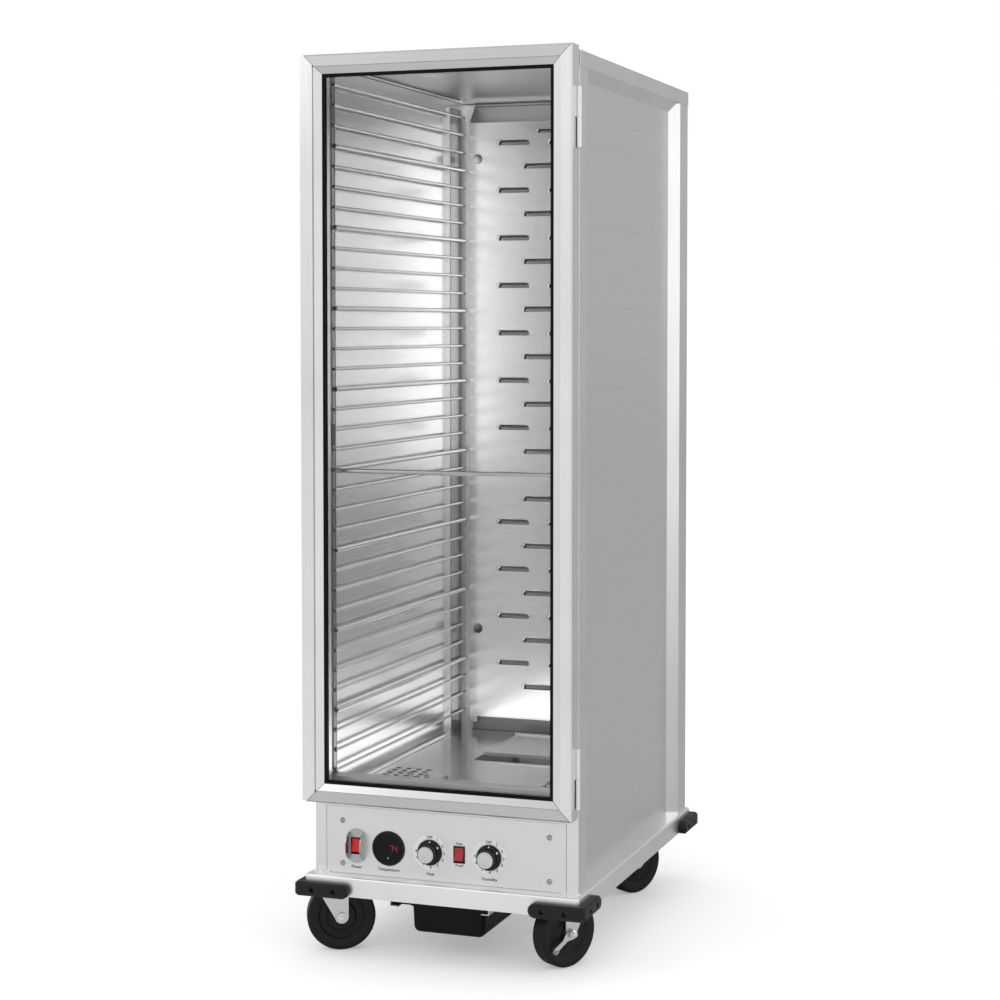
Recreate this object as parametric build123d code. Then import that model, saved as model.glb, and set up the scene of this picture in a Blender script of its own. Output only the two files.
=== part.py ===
from build123d import *
import math
import os

os.makedirs("parts", exist_ok=True)

# Mobile heated holding and proofing cabinet. Millimetres, +Z up, +X to the viewer's right,
# front towards -Y. The origin is on the floor, under the middle of the overall box.
# Heights below are taken from a datum plane that is FLOOR_DROP above the floor, and
# every piece is raised by that much as it is written.

# ---------------------------------------------------------------- driving dimensions
WIDTH = 577.85            # over the corner bumpers
DEPTH = 825.5             # over the corner bumpers
HEIGHT = 1689.1           # datum to the top of the door
FLOOR_DROP = 8.0          # how far the wheels reach below the datum
BUMPER = 16.0             # bumper thickness
SHEET = 2.0               # chassis sheet
SKIN = 1.6                # panel sheet
THIN = 1.2                # light folded sheet
EPS = 0.3                 # gap between pieces that move past each other
RUN = 0.05                # radial clearance of a pin in its bore

CHASSIS_X = WIDTH / 2 - BUMPER
CHASSIS_Y = DEPTH / 2 - BUMPER
CHASSIS_TOP = 146.1
SKIRT_H = 37.0
SKIRT_Z = CHASSIS_TOP - SKIRT_H

BODY_X = 263.0            # outer side of the posts
BODY_FRONT = -366.75
BODY_REAR = 395.0
BODY_TOP = 1682.3
POST_W = 23.0             # post width across the front
POST_D = 48.0             # front post depth along the side
POST_IN = BODY_X - POST_W
POST_BACK = BODY_FRONT + POST_D
PANEL_X = 244.0           # outer face of the recessed side panels
PANEL_REAR = 307.0
PLANK_Z = 303.6           # lowest plank joint of the side panels
PLANK_PITCH = 152.4
PLANK_JOINTS = 9
REAR_POST_Y = 334.0       # where the rear post's outer face begins
CAP_Z = 1653.5            # lower edge of the top cap's flange
POST_TOP = BODY_TOP - THIN
RAIL_Z = 1634.0           # underside of the side top rails
HEADER_Z = 1656.0         # underside of the front header
WALL_X = PANEL_X - SKIN
FLOOR_Z = 290.0           # cavity floor
SILL_Z = (275.0, 331.5)
VENT_X, VENT_Y = (-212.0, 121.5), -163.0  # first hole of each block of floor vents
VENT_PITCH, VENT_R = 22.0, 6.0
SILL_BACK = -330.0

DOOR_X = 263.0
DOOR_FRONT = -412.0
DOOR_BACK = -371.0
DOOR_Z = (287.7, HEIGHT)
FRAME_W = 36.0            # face width of the door's frame profile
FLAT_W = 22.5             # its flat outer band
BEVEL = 6.0               # how far its inner band falls back
LIP = 6.5                 # finger lip outside the free edge
LIP_STOP = 3.0            # the lip ends this much short of the corners
HINGE_X = 267.8
HINGE_Y = -384.0
HINGE_R = 4.5
HINGE_PIN_R = 2.5
HINGES = ((1504.8, 1614.7), (306.9, 418.6))

CONTROL_Z = (147.0, 274.5)
PANEL_T = 1.5
CONTROL_Y = 200.7         # height of the row of controls
SCREW_X, SCREW_Z = 207.0, (165.4, 247.0)
POWER_X, DISPLAY_X, HEAT_X, MODE_X, HUMID_X = -178.0, -112.5, -28.0, 30.0, 90.0
DIAL_R, KNOB_R, KNOB_H, CAP_R = 33.0, 24.0, 24.5, 15.5
SHAFT_R = 3.0

DUCT_Y = 355.0            # front face of the rear air duct panel
DUCT_X = 219.0
DUCT_Z = (309.5, 1629.0)
DUCT_INTAKE_Z = 322.0     # top of the intake gap along its lower edge
DUCT_CEILING_Z = 1672.0   # where its leaning top meets the rear wall
LOUVRE = (71.0, 11.0, 7.0)  # length, height, radius of the upper corners
LOUVRE_X = (-116.0, -58.0, 0.0, 58.0, 116.0)
LOUVRE_Z = 1584.0
LOUVRE_PITCH = 103.5
LOUVRE_ROWS = 12

RUNG_Z = 1640.0
RUNG_PITCH = 38.3
RUNGS = 35
UPRIGHT_X = 235.5
UPRIGHT_R = 3.5
UPRIGHT_Y = (-336.0, 334.5)
STRIP_Y = ((-349.0, -337.0), (277.0, 333.5))   # flat strip welded to each upright
RUNG_Y = (-349.0, 350.0)

WHEEL_R = 65.5
AXLE_Z = WHEEL_R - FLOOR_DROP
WHEEL_W = 32.0
TRAIL = 26.0
AXLE_R = 4.0
LEG_IN, LEG_OUT = 18.0, 21.0
CROWN_Z = (130.5, 133.5)
SWIVEL_X = 201.0
SWIVEL_FRONT, SWIVEL_REAR = -325.0, 268.0
SWIVELS = {                # x, y, heading of the trail in degrees, brake
    "front_left": (-SWIVEL_X, SWIVEL_FRONT, 208.0, True),
    "front_right": (SWIVEL_X, SWIVEL_FRONT, 60.0, True),
    "rear_left": (-SWIVEL_X, SWIVEL_REAR, 250.0, False),
    "rear_right": (SWIVEL_X, SWIVEL_REAR, 239.0, False),
}

PAN_TOP = 103.8
PAN_BOTTOM = 40.5
PAN_Y = (-379.0, -75.0)
PAN_X = 74.0
PAN_FLANGE_X = 96.8
PAN_WALL = 2.5
WATER_X, WATER_Y = 97.0, (42.0, 320.0)
LID_X, LID_FRONT = 91.0, 92.0

NODES = {}


# ---------------------------------------------------------------- helpers
def box(x0, x1, y0, y1, z0, z1):
    return Pos((x0 + x1) / 2, (y0 + y1) / 2, (z0 + z1) / 2) * Box(x1 - x0, y1 - y0, z1 - z0)


def rod(start, end, radius):
    start, end = Vector(*start), Vector(*end)
    return extrude(Plane(start, z_dir=end - start) * Circle(radius), (end - start).length)


def outline(points):
    return make_face(Polyline(*points, close=True))


def along_z(points, z0, z1):
    return extrude(Pos(0, 0, z0) * outline(points), z1 - z0)


def along_y(points, y0, y1):
    plane = Plane((0, y1, 0), x_dir=(1, 0, 0), z_dir=(0, -1, 0))
    return extrude(plane * outline(points), y1 - y0)


def along_x(points, x0, x1):
    plane = Plane((x0, 0, 0), x_dir=(0, 1, 0), z_dir=(1, 0, 0))
    return extrude(plane * outline(points), x1 - x0)


def tube_z(points, wall, z0, z1):
    face = outline(points)
    return extrude(Pos(0, 0, z0) * (face - offset(face, -wall)), z1 - z0)


def turned(points):
    """A profile of (radius, height) points turned about Z."""
    return revolve(Plane.XZ * outline(points), Axis.Z)


def facing_front(x, y, z):
    """Local +Z points out of the front."""
    return Pos(x, y, z) * Rot(90, 0, 0)


def mirrored(shape):
    return mirror(shape, Plane.YZ)


def save(node, *solids):
    NODES[node] = list(solids)


# ---------------------------------------------------------------- chassis
def bumper_screw_places():
    """Head centre and inward direction of each bumper screw."""
    for sx in (-1, 1):
        for sy in (-1, 1):
            for along in (38.0, 82.0):
                yield (sx * (WIDTH / 2 - along), sy * DEPTH / 2, 120.0), (0, -sy, 0)
                yield (sx * WIDTH / 2, sy * (DEPTH / 2 - along), 120.0), (-sx, 0, 0)


def along(point, direction, distance):
    return tuple(p + d * distance for p, d in zip(point, direction))


def base_chassis():
    tray = box(-CHASSIS_X, CHASSIS_X, -CHASSIS_Y, CHASSIS_Y, SKIRT_Z, CHASSIS_TOP)
    tray = fillet(tray.edges().filter_by(Axis.Z), 6)
    tray = fillet(tray.faces().sort_by(Axis.Z)[-1].edges(), 4)
    hollow = box(-CHASSIS_X + SHEET, CHASSIS_X - SHEET, -CHASSIS_Y + SHEET, CHASSIS_Y - SHEET,
                 SKIRT_Z - 1, CHASSIS_TOP - SHEET)
    hollow = fillet(hollow.edges().filter_by(Axis.Z), 4)
    tray -= hollow
    for place, inward in bumper_screw_places():
        tray -= rod(along(place, inward, BUMPER - 1), along(place, inward, BUMPER + 4), 2.2)
    return tray


def bumper_leg(length, z0, z1):
    """One leg along X from its round end at -length to the corner at 0, with its face at y = 0."""
    end = (z1 - z0) / 2
    line = Polyline((-length + end, z0), (0, z0), (0, z1), (-length + end, z1))
    face = make_face(line + ThreePointArc((-length + end, z1), (-length, z0 + end), (-length + end, z0)))
    return extrude(Plane.XZ * face, BUMPER)


def corner_bumper(sx, sy):
    length, z0, z1 = 110.0, 107.0, 134.0
    leg = bumper_leg(length, z0, z1)
    shape = Pos(WIDTH / 2, DEPTH / 2, 0) * (leg + mirror(Rot(0, 0, 90) * leg, Plane.YZ))
    corner = shape.edges().filter_by(Axis.Z).sort_by(lambda e: e.center().X + e.center().Y)[-1]
    shape = fillet(corner, 10)
    shape = chamfer(outer_rim(shape), 4)
    for distance in (38.0, 82.0):
        for place, inward in (((WIDTH / 2 - distance, DEPTH / 2, 120.0), (0, -1, 0)),
                              ((WIDTH / 2, DEPTH / 2 - distance, 120.0), (-1, 0, 0))):
            shape -= rod(along(place, inward, -1), along(place, inward, 9), 5.0)
            shape -= rod(place, along(place, inward, BUMPER + 1), 2.3)
    if sx < 0:
        shape = mirror(shape, Plane.YZ)
    if sy < 0:
        shape = mirror(shape, Plane.XZ)
    return shape


def outer_rim(shape):
    """Edges round the bumper's outer faces, not those against the skirt or in the corner."""
    rim = []
    for edge in shape.edges():
        c = edge.center()
        inner = c.X < WIDTH / 2 - 1 and c.Y < DEPTH / 2 - BUMPER + 1
        inner = inner or (c.Y < DEPTH / 2 - 1 and c.X < WIDTH / 2 - BUMPER + 1)
        across = min(edge.bounding_box().size.X, edge.bounding_box().size.Y) > BUMPER - 1
        if not inner and not across:
            rim.append(edge)
    return rim


def bumper_screw(place, inward):
    head = rod(along(place, inward, 6.5), along(place, inward, 9), 4.6)
    shank = rod(along(place, inward, 9), along(place, inward, BUMPER + 8), 2.0)
    socket = rod(along(place, inward, 6), along(place, inward, 7.7), 1.8)
    return head + shank - socket


# ---------------------------------------------------------------- casters
def caster_plate(x, y):
    plate = box(x - 45, x + 45, y - 40, y + 40, CHASSIS_TOP - SHEET - 4, CHASSIS_TOP - SHEET)
    plate = fillet(plate.edges().filter_by(Axis.Z), 8)
    race_low, race_top = CROWN_Z[1] + 2.8, CHASSIS_TOP - 6
    race = Pos(x, y, (race_low + race_top) / 2) * Cylinder(26, race_top - race_low)
    bolts = [Pos(x + i * 36, y + j * 30, 138.6) * extrude(RegularPolygon(6, 6), 1.5)
             for i in (-1, 1) for j in (-1, 1)]
    return plate + race + bolts


def kingpin(x, y):
    top = CROWN_Z[1] + 2.8
    return (rod((x, y, CROWN_Z[0] - EPS), (x, y, top), 6.0)
            + rod((x, y, CROWN_Z[0] - EPS - 1.5), (x, y, CROWN_Z[0] - EPS), 10.0))


def at_caster(name):
    x, y, heading, _ = SWIVELS[name]
    return Pos(x, y, 0) * Rot(0, 0, heading)


def fork_leg(side):
    """A plate from the crown down to a round boss on the axle, leaning back on the trailing side."""
    boss = ThreePointArc((TRAIL + 12.6, AXLE_Z - 3), (TRAIL, AXLE_Z - 13), (TRAIL - 13, AXLE_Z))
    line = Polyline((TRAIL - 13, AXLE_Z), (TRAIL - 13, 98), (-22, CROWN_Z[1]), (56, CROWN_Z[1]), (60, 116),
                    (66, 102), (TRAIL + 12.6, AXLE_Z - 3))
    lateral = LEG_OUT if side > 0 else -LEG_IN
    plane = Plane((0, lateral, 0), x_dir=(1, 0, 0), z_dir=(0, -1, 0))
    return extrude(plane * make_face(line + boss), LEG_OUT - LEG_IN)


def caster_fork(name):
    crown = Pos(17, 0, sum(CROWN_Z) / 2) * Box(78, 2 * LEG_OUT, CROWN_Z[1] - CROWN_Z[0])
    race = Pos(0, 0, CROWN_Z[1] + 1.25) * Cylinder(24, 2.5)
    disc = Pos(0, 0, sum(CROWN_Z) / 2) * Cylinder(27, CROWN_Z[1] - CROWN_Z[0])
    fork = crown + disc + race + fork_leg(1) + fork_leg(-1)
    fork -= Pos(0, 0, CROWN_Z[1]) * Cylinder(6.0 + RUN, 20)
    fork -= rod((TRAIL, -30, AXLE_Z), (TRAIL, 30, AXLE_Z), AXLE_R)
    return at_caster(name) * fork


def caster_axle(name):
    brake = SWIVELS[name][3]
    low = -LEG_OUT - (3.1 if brake else 0)
    axle = rod((TRAIL, low - 3, AXLE_Z), (TRAIL, LEG_OUT + 3, AXLE_Z), AXLE_R)
    for start, direction in ((low, -1), (LEG_OUT, 1)):
        plane = Plane((TRAIL, start, AXLE_Z), z_dir=(0, direction, 0))
        axle += extrude(plane * RegularPolygon(7, 6), 4)
    return at_caster(name) * axle


def caster_wheel(name):
    half = WHEEL_W / 2
    rim = 5.0
    face = [(AXLE_R + RUN, 17.6), (13, 17.6), (15, 15), (26, 15), (29, 11.5), (42, 11.5), (45, 14.5),
            (56, half), (WHEEL_R - rim, half)]
    line = Polyline(*face)
    shoulder = Polyline((WHEEL_R, half - rim), (WHEEL_R, -half + rim))
    under = Polyline(*[(r, -h) for r, h in reversed(face)])
    inner = Line((AXLE_R + RUN, -17.6), (AXLE_R + RUN, 17.6))
    round_top = RadiusArc((WHEEL_R - rim, half), (WHEEL_R, half - rim), rim)
    round_low = RadiusArc((WHEEL_R, -half + rim), (WHEEL_R - rim, -half), rim)
    wheel = revolve(Plane.XZ * make_face(line + round_top + shoulder + round_low + under + inner), Axis.Z)
    return at_caster(name) * Pos(TRAIL, 0, AXLE_Z) * Rot(90, 0, 0) * wheel


def brake_lever(name):
    """A side lever on the axle bolt: a lobe beside the hub, a narrow arm and a small bent foot pad."""
    lateral = -LEG_OUT - EPS
    thick = 2.5
    points = [(-9, 7), (8, 7), (8, -7), (0, -10), (-12, -13), (-41, -31), (-47, -28), (-45, -22),
              (-22, -9), (-16, 1)]
    plane = Plane((TRAIL, lateral, AXLE_Z), x_dir=(1, 0, 0), z_dir=(0, -1, 0))
    lever = extrude(plane * outline(points), thick)
    lever += rod((TRAIL, lateral, AXLE_Z), (TRAIL, lateral - thick, AXLE_Z), 10)
    lever += Pos(TRAIL - 43, lateral - thick - 3, AXLE_Z - 27) * Rot(0, -30, 0) * Box(9, 8, 2.5)
    lever -= rod((TRAIL, lateral + 1, AXLE_Z), (TRAIL, lateral - 9, AXLE_Z), AXLE_R + RUN)
    return at_caster(name) * lever


# ---------------------------------------------------------------- cabinet frame and skins
def front_post():
    shape = tube_z([(POST_IN, BODY_FRONT), (BODY_X, BODY_FRONT), (BODY_X, POST_BACK), (POST_IN, POST_BACK)],
                   SKIN, CHASSIS_TOP, POST_TOP)
    edge = shape.edges().filter_by(Axis.Z).sort_by(lambda e: e.center().X - e.center().Y)[-1]
    return fillet(edge, 1.4)


def rear_post():
    return tube_z([(POST_IN, BODY_REAR), (POST_IN, PANEL_REAR), (PANEL_X, PANEL_REAR),
                   (BODY_X, REAR_POST_Y), (BODY_X, BODY_REAR)], SKIN, CHASSIS_TOP, POST_TOP)


def top_cap():
    x, y0, y1 = BODY_X + THIN, BODY_FRONT - THIN, BODY_REAR + THIN
    cap = box(-x, x, y0, y1, CAP_Z, BODY_TOP)
    cap = fillet(cap.edges().filter_by(Axis.Z), 1.1)
    cap = fillet(cap.faces().sort_by(Axis.Z)[-1].edges(), 1.1)
    return cap - box(-BODY_X, BODY_X, BODY_FRONT, BODY_REAR, CAP_Z - 1, BODY_TOP - THIN)


def side_top_rail():
    points = [(POST_IN, RAIL_Z), (PANEL_X, RAIL_Z), (BODY_X, CAP_Z - 1), (BODY_X, POST_TOP),
              (POST_IN, POST_TOP)]
    face = outline(points)
    plane = Plane((0, PANEL_REAR, 0), x_dir=(1, 0, 0), z_dir=(0, -1, 0))
    return extrude(plane * (face - offset(face, -SKIN)), PANEL_REAR - POST_BACK)


def cross_rail(y0, y1, z0):
    outer = box(-POST_IN, POST_IN, y0, y1, z0, POST_TOP)
    return outer - box(-POST_IN - 1, POST_IN + 1, y0 + SKIN, y1 - SKIN, z0 + SKIN, POST_TOP - SKIN)


def side_panel():
    """Planked sheet with a fine V groove at each plank joint."""
    panel = box(WALL_X, PANEL_X, POST_BACK, PANEL_REAR, CHASSIS_TOP, RAIL_Z)
    for i in range(PLANK_JOINTS):
        z = PLANK_Z + PLANK_PITCH * i
        groove = [(PANEL_X + 0.1, z - 0.5), (PANEL_X - 0.4, z), (PANEL_X + 0.1, z + 0.5)]
        panel -= along_y(groove, POST_BACK - 1, PANEL_REAR + 1)
    return panel


def back_panel():
    panel = box(-POST_IN, POST_IN, BODY_REAR - SKIN, BODY_REAR, CHASSIS_TOP, POST_TOP)
    for i in range(6):
        for x in (-150.0, -60.0, 60.0):
            z = 170.0 + 14 * i
            panel -= Pos(x, BODY_REAR, z) * Rot(90, 0, 0) * extrude(SlotOverall(60, 5), 10, both=True)
    panel -= box(145, 195, BODY_REAR - 5, BODY_REAR + 5, 185, 213)
    return panel


def front_sill():
    outer = box(-POST_IN, POST_IN, BODY_FRONT, SILL_BACK, *SILL_Z)
    return outer - box(-POST_IN - 1, POST_IN + 1, BODY_FRONT + SKIN, SILL_BACK - SKIN,
                       SILL_Z[0] + SKIN, SILL_Z[1] - SKIN)


def cabinet_floor():
    """Cavity floor, notched round the four posts, with a block of vents on each side."""
    z0 = FLOOR_Z - PANEL_T
    floor = box(-WALL_X, WALL_X, SILL_BACK, BODY_REAR - SKIN, z0, FLOOR_Z)
    for sx in (-1, 1):
        a, b = sorted((sx * (POST_IN - EPS), sx * (WALL_X + 1)))
        floor -= box(a, b, SILL_BACK - 1, POST_BACK + EPS, z0 - 1, FLOOR_Z + 1)
        floor -= box(a, b, PANEL_REAR - EPS, BODY_REAR, z0 - 1, FLOOR_Z + 1)
    for first in VENT_X:
        for i in range(4):
            for j in range(5):
                x, y = first + VENT_PITCH * i, VENT_Y + VENT_PITCH * j
                floor -= Pos(x, y, FLOOR_Z) * Cylinder(VENT_R, 10)
    hole = box(-WATER_X - 1, WATER_X + 1, WATER_Y[0] - 1, WATER_Y[1] + 1, z0 - 1, FLOOR_Z + 1)
    floor -= fillet(hole.edges().filter_by(Axis.Z), 15)
    return floor


def louvre_places():
    for k in range(LOUVRE_ROWS):
        for i, x in enumerate(LOUVRE_X):
            drop = LOUVRE_PITCH / 2 if i % 2 else 0
            yield x, LOUVRE_Z - LOUVRE_PITCH * k - drop


def louvre_outline():
    """A slot with a straight lower edge and rounded upper corners."""
    length, height, radius = LOUVRE
    face = Rectangle(length, height)
    return fillet(face.vertices().sort_by(Axis.Y)[-2:], radius)


def duct_panel():
    """Slotted air duct cover with side returns and a top that leans back to the rear wall."""
    back = BODY_REAR - SKIN
    bottom, bend = DUCT_Z
    profile = [(DUCT_Y, bottom), (DUCT_Y, bend), (back, DUCT_CEILING_Z), (back, DUCT_CEILING_Z - 1.8),
               (DUCT_Y + THIN, bend - 0.6), (DUCT_Y + THIN, bottom)]
    side = [(DUCT_Y, bottom), (DUCT_Y, bend), (back, DUCT_CEILING_Z), (back, bottom)]
    panel = along_x(profile, -DUCT_X, DUCT_X)
    panel += along_x(side, -DUCT_X, -DUCT_X + THIN)
    panel += along_x(side, DUCT_X - THIN, DUCT_X)
    tool = Rot(90, 0, 0) * extrude(louvre_outline(), 6, both=True)
    tools = [Pos(x, DUCT_Y, z) * tool for x, z in louvre_places()]
    tools.append(Pos(0, DUCT_Y, 1607) * Rot(90, 0, 0) * extrude(SlotOverall(124, 9), 6, both=True))
    for x in (-200.0, 200.0):
        for z in (518.0, 1550.0):
            tools.append(Pos(x, DUCT_Y, z) * Rot(90, 0, 0) * Cylinder(11, 12))
    tools.append(box(-202, 202, DUCT_Y - 1, DUCT_Y + 5, bottom - 1, DUCT_INTAKE_Z))
    return panel - tools


# ---------------------------------------------------------------- pan racks
def rack_upright(side, y, strip):
    """A vertical wire with a flat strip beside it, on three stand-off studs that meet the post."""
    x = side * UPRIGHT_X
    foot = SILL_Z[1] if y < SILL_BACK else FLOOR_Z
    upright = rod((x, y, foot), (x, y, HEADER_Z), UPRIGHT_R)
    a, b = sorted((side * (UPRIGHT_X - 2.9), side * (UPRIGHT_X - 0.9)))
    upright += box(a, b, *strip, foot, HEADER_Z)
    for z in (340.0, 980.0, 1620.0):
        upright += rod((x, y, z), (side * POST_IN, y, z), 3.0)
    return upright


def rack_rung(side, k):
    """Every fourth ledge wire is a heavier one."""
    radius = 4.5 if k % 4 == 3 else 3.0
    x = side * (UPRIGHT_X - UPRIGHT_R - radius + 0.04)
    z = RUNG_Z - RUNG_PITCH * k
    return rod((x, RUNG_Y[0], z), (x, RUNG_Y[1], z), radius)


# ---------------------------------------------------------------- controls
def control_panel():
    panel = box(-POST_IN, POST_IN, BODY_FRONT, BODY_FRONT + PANEL_T, *CONTROL_Z)
    y = BODY_FRONT
    panel -= Pos(DISPLAY_X, y, CONTROL_Y) * Rot(90, 0, 0) * Cylinder(28.2, 8)
    for x in (HEAT_X, HUMID_X):
        panel -= Pos(x, y, CONTROL_Y) * Rot(90, 0, 0) * Cylinder(SHAFT_R + 0.6, 8)
    for x in (POWER_X, MODE_X):
        panel -= Pos(x, y, CONTROL_Y) * Box(19.8, 8, 29.8)
    for x in (-SCREW_X, SCREW_X):
        for z in SCREW_Z:
            panel -= Pos(x, y, z) * Rot(90, 0, 0) * Cylinder(2.2, 8)
    return panel


def panel_screw(x, z):
    head = turned([(0, 0), (5.2, 0), (5.2, 1.2), (3.8, 2.8), (0, 3.3)])
    screw = head + Pos(0, 0, -6) * Cylinder(2.0, 12)
    screw -= Pos(0, 0, 3) * (Box(5.2, 1, 3) + Box(1, 5.2, 3))
    return facing_front(x, BODY_FRONT, z) * screw


def switch_guard():
    """Base plate with rounded ends and two outstanding D-shaped ears."""
    half_w, half_h, thick, ear = 15.5, 33.0, 1.5, 21.0
    straight = 27.0
    top = ThreePointArc((-half_w, straight), (0, half_h), (half_w, straight))
    foot = ThreePointArc((half_w, -straight), (0, -half_h), (-half_w, -straight))
    left = Line((-half_w, -straight), (-half_w, straight))
    right = Line((half_w, straight), (half_w, -straight))
    guard = extrude(make_face(left + top + right + foot), thick) - Pos(0, 0, 1) * Box(22.6, 32.6, 6)
    wing = make_face(Line((0, -straight), (0, straight))
                     + ThreePointArc((0, straight), (ear, 0), (0, -straight)))
    for x in (-half_w, half_w - thick):
        guard += Plane((x, 0, 0), x_dir=(0, 0, 1), z_dir=(1, 0, 0)) * extrude(wing, thick)
    return facing_front(POWER_X, BODY_FRONT, CONTROL_Y) * guard


def switch_housing(x):
    frame = Pos(0, 0, 1) * Box(22.2, 32.2, 2) + Pos(0, 0, -10) * Box(19.6, 29.6, 20)
    frame = frame - Pos(0, 0, -5) * Box(18.0, 27.6, 16)
    frame -= Pos(0, 0, -4) * Rot(0, 90, 0) * Cylinder(1.25 + RUN, 19.2)
    return facing_front(x, BODY_FRONT, CONTROL_Y) * frame


def rocker(x):
    """Two-faced rocker on its own pivot stubs, pressed at its upper end."""
    points = [(-12.2, 7.6), (0, 6.0), (12.2, 7.6), (12.2, 3.0), (4, -6), (-4, -6), (-12.2, 3.0)]
    plane = Plane((-8.6, 0, 0), x_dir=(0, 1, 0), z_dir=(1, 0, 0))
    body = extrude(plane * outline(points), 17.2)
    body += Rot(0, 90, 0) * Cylinder(1.25, 18.8)
    return facing_front(x, BODY_FRONT, CONTROL_Y) * Pos(0, 0, -4) * Rot(-8, 0, 0) * body


def display_bezel():
    ring = turned([(29.2, 0), (DIAL_R, 0), (DIAL_R, 1.8), (31.8, 3.0), (29.2, 3.0)])
    body = Pos(0, 0, -12) * Cylinder(28, 24)
    back = Pos(0, 0, 0.4) * Cylinder(29.4, 0.8)
    return facing_front(DISPLAY_X, BODY_FRONT, CONTROL_Y) * (ring + body + back)


def display_lens():
    lens = turned([(0, 0.8), (29.2, 0.8), (29.2, 2.0), (20, 2.5), (0, 2.7)])
    return facing_front(DISPLAY_X, BODY_FRONT, CONTROL_Y) * lens


def dial_plate(x):
    plate = turned([(SHAFT_R + 0.6, 0), (DIAL_R, 0), (DIAL_R, 0.8), (SHAFT_R + 0.6, 0.8)])
    return facing_front(x, BODY_FRONT, CONTROL_Y) * plate


def knob(x):
    profile = [(SHAFT_R, 1.3), (KNOB_R, 1.3), (KNOB_R, 6), (22, 8.5), (18.2, 9.5), (17.2, KNOB_H - 1),
               (16.2, KNOB_H), (SHAFT_R, KNOB_H)]
    body = turned(profile)
    for i in range(18):
        angle = math.radians(20 * i)
        groove = Cylinder(0.9, 14)
        body -= Pos(18.4 * math.cos(angle), 18.4 * math.sin(angle), 17.5) * groove
    return facing_front(x, BODY_FRONT, CONTROL_Y) * body


def knob_shaft(x):
    tail = 22.0
    shaft = Pos(0, 0, (KNOB_H - tail) / 2) * Cylinder(SHAFT_R, KNOB_H + tail)
    return facing_front(x, BODY_FRONT, CONTROL_Y) * shaft


def knob_cap(x):
    cap = turned([(0, KNOB_H), (CAP_R, KNOB_H), (CAP_R, KNOB_H + 1.2), (CAP_R - 1, KNOB_H + 2),
                  (CAP_R - 2, KNOB_H + 1.6), (0, KNOB_H + 2.3)])
    return facing_front(x, BODY_FRONT, CONTROL_Y) * cap


def thermostat(x):
    y0 = BODY_FRONT + PANEL_T
    block = box(x - 20, x + 20, y0, y0 + 28, CONTROL_Y - 20, CONTROL_Y + 20)
    block = fillet(block.edges().filter_by(Axis.Y), 4)
    return block - Pos(x, y0 + 12, CONTROL_Y) * Rot(90, 0, 0) * Cylinder(SHAFT_R + RUN, 24.2)


# ---------------------------------------------------------------- heating, air and water
def module_tray():
    x, y0, y1 = 234.0, BODY_FRONT + PANEL_T, 385.0
    outer = box(-x, x, y0, y1, CHASSIS_TOP, 222)
    inner = box(-x + THIN, x - THIN, y0 + THIN, y1 - THIN, CHASSIS_TOP + THIN, 223)
    tray = outer - inner
    tray -= box(-225, 225, y0 - 1, y0 + 2, 158, 223)
    tray -= box(140, 200, y1 - 2, y1 + 1, 178, 223)
    return tray


def heater_element():
    """One bent tubular element in four passes, with its two terminals towards the controls."""
    z = 240.0
    path = FilletPolyline((-190, -310, z), (-190, 30, z), (-140, 30, z), (-140, -250, z),
                          (140, -250, z), (140, 30, z), (190, 30, z), (190, -310, z), radius=20)
    return sweep(Plane(path @ 0, z_dir=path % 0) * Circle(4.0), path=path)


def element_clips():
    clips = []
    for x in (-234 + THIN, 234 - THIN - 60):
        plate = box(x, x + 60, -120, -100, 234.5, 236)
        edge = x if x < 0 else x + 60 - THIN
        web = box(edge, edge + THIN, -120, -100, CHASSIS_TOP + THIN, 234.5)
        clips.append(plate + web)
    return clips


def blower_motor():
    x, z = 0.0, 195.0
    body = rod((x, 300, z), (x, 360, z), 32)
    body += box(x - 20, x + 20, 360, 385 - THIN, z - 20, z + 20)
    body += box(x - 25, x + 25, 305, 355, CHASSIS_TOP + THIN, z - 20)
    return body - rod((x, 299, z), (x, 345, z), 4.0 + RUN)


def blower_impeller():
    x, z = 0.0, 195.0
    wheel = rod((x, 292, z), (x, 295, z), 40)
    wheel += rod((x, 262, z), (x, 340, z), 4.0)
    wheel += rod((x, 280, z), (x, 292, z), 11)
    for i in range(16):
        a = math.radians(22.5 * i)
        place = Pos(x + 34 * math.cos(a), 277.5, z + 34 * math.sin(a))
        wheel += place * Rot(0, -22.5 * i, 0) * Box(9, 31, 1.5)
    return wheel


def water_pan():
    x, (y0, y1) = WATER_X, WATER_Y
    depth = 52.0
    outer = box(-x, x, y0, y1, FLOOR_Z - depth, FLOOR_Z + 1)
    outer = fillet(outer.edges().filter_by(Axis.Z), 14)
    rim = box(-x - 10, x + 10, y0 - 10, y1 + 10, FLOOR_Z, FLOOR_Z + THIN)
    rim = fillet(rim.edges().filter_by(Axis.Z), 20)
    inner = box(-x + THIN, x - THIN, y0 + THIN, y1 - THIN, FLOOR_Z - depth + THIN, FLOOR_Z + 5)
    inner = fillet(inner.edges().filter_by(Axis.Z), 13)
    pan = outer + rim - inner
    for sx in (-1, 1):
        a, b = sorted((sx * (LID_X + 4.5), sx * (LID_X + 7.5)))
        pan += box(a, b, y1 - 4, y1 + 6, FLOOR_Z, FLOOR_Z + 10)
        pan -= rod((a - 1, y1 + 1, FLOOR_Z + 6), (b + 1, y1 + 1, FLOOR_Z + 6), 1.5 + RUN)
    return pan


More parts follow.
